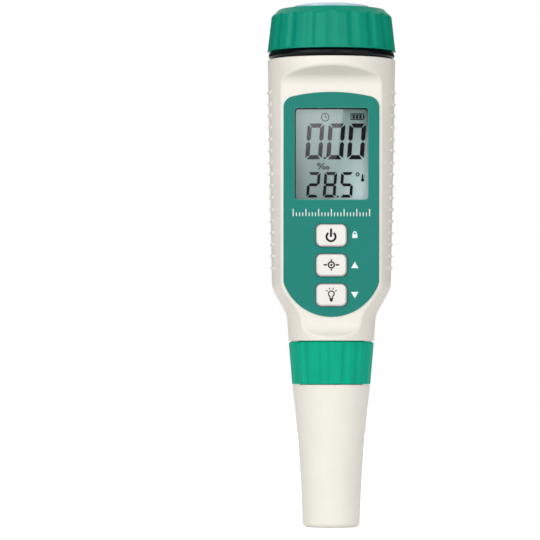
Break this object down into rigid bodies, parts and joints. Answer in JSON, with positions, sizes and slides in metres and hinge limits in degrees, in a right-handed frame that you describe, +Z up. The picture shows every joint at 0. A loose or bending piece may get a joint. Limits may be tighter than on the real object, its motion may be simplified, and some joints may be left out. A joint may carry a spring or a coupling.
{
  "type": "salinity meter",
  "caption": "Pen-type digital salinity meter with a screw-on fluted battery cap, flat display front, soft keys, fluted probe collar and a pull-off tapered probe cap.",
  "frame": {"origin": "centre of the probe cap's flat foot, on which the pen stands", "axes": "+Z up the pen's axis from the foot to the battery cap; the display and keys face -Y; +X is the viewer's right when reading the display"},
  "size_m": [0.0382, 0.038, 0.1553],
  "materials": {
    "housing_plastic": "satin moulded, off-white",
    "cap_plastic": "semi-gloss moulded green",
    "collar_plastic": "gloss moulded green",
    "dome_resin": "clear poured dome, faintly blue",
    "label_film": "matte teal film",
    "clear_lens": "clear, polished",
    "display_panel": "grey reflective liquid crystal",
    "key_plastic": "soft matte white",
    "seal_rubber": "smooth black",
    "inner_plastic": "moulded dark grey",
    "silicone": "soft grey",
    "acrylic": "milky light guide",
    "board_laminate": "solder mask green",
    "chip_black": "moulded epoxy",
    "can_aluminium": "drawn can",
    "steel": "stainless",
    "spring_brass": "plated spring strip",
    "cell_steel": "nickel-plated can",
    "probe_plastic": "moulded charcoal",
    "lead_insulation": "insulated lead"
  },
  "bodies": {
    "probe_cap": {"probe_cap": "housing_plastic"},
    "probe": {"probe_body": "probe_plastic", "probe_seal": "seal_rubber", "electrodes": "steel", "temperature_sensor": "steel", "contact_pins": "spring_brass", "probe_leads": "lead_insulation"},
    "collar": {"probe_collar": "collar_plastic"},
    "housing": {"front_shell": "housing_plastic", "rear_shell": "housing_plastic", "battery_neck": "inner_plastic", "neck_seal": "seal_rubber", "battery_contacts": "spring_brass", "probe_mount": "inner_plastic", "probe_sockets": "spring_brass", "face_label": "label_film", "display_lens": "clear_lens", "display_frame": "inner_plastic", "display_glass": "display_panel", "light_guide": "acrylic", "contact_strips": "silicone", "main_board": "board_laminate", "board_screws": "steel", "controller_chip": "chip_black", "amplifier_chips": "chip_black", "crystal": "can_aluminium", "capacitor_cans": "can_aluminium", "key_switches": "chip_black", "key_mat": "silicone"},
    "battery_carrier": {"battery_carrier": "inner_plastic", "button_cell_1": "cell_steel", "button_cell_2": "cell_steel", "button_cell_3": "cell_steel", "button_cell_4": "cell_steel", "cell_bridge": "spring_brass", "carrier_terminals": "spring_brass"},
    "battery_cap": {"battery_cap": "cap_plastic", "cap_dome": "dome_resin", "swivel_screw": "steel"},
    "key_power": {"key_power": "key_plastic"},
    "key_calibrate": {"key_calibrate": "key_plastic"},
    "key_light": {"key_light": "key_plastic"}
  },
  "joints": [
    {"name": "probe_pull", "type": "slide", "parent": "probe_cap", "child": "probe", "axis": [0, 0, 1], "range_m": [0, 0.036]},
    {"name": "collar_turn", "type": "hinge", "parent": "probe", "child": "collar", "pos_m": [0, 0, 0.0485], "axis": [0, 0, -1], "range_deg": [0, 1080]},
    {"name": "probe_release", "type": "slide", "parent": "probe", "child": "housing", "axis": [0, 0, 1], "range_m": [0, 0.0075]},
    {"name": "cap_lift", "type": "slide", "parent": "housing", "child": "battery_carrier", "axis": [0, 0, 1], "range_m": [0, 0.006]},
    {"name": "cap_turn", "type": "hinge", "parent": "battery_carrier", "child": "battery_cap", "pos_m": [0, 0, 0.1468], "axis": [0, 0, 1], "range_deg": [0, 720]},
    {"name": "key_power_press", "type": "slide", "parent": "housing", "child": "key_power", "axis": [0, 0.9996, 0.0297], "range_m": [0, 0.0005], "stiffness_N_per_m": 400, "springref_m": -0.002},
    {"name": "key_calibrate_press", "type": "slide", "parent": "housing", "child": "key_calibrate", "axis": [0, 0.9996, 0.0297], "range_m": [0, 0.0005], "stiffness_N_per_m": 400, "springref_m": -0.002},
    {"name": "key_light_press", "type": "slide", "parent": "housing", "child": "key_light", "axis": [0, 0.9996, 0.0297], "range_m": [0, 0.0005], "stiffness_N_per_m": 400, "springref_m": -0.002}
  ],
  "couplings": [
    {"joint": "collar_turn", "follows": "probe_release", "rad_per_m": 2513.3},
    {"joint": "cap_turn", "follows": "cap_lift", "rad_per_m": 2094.4}
  ]
}
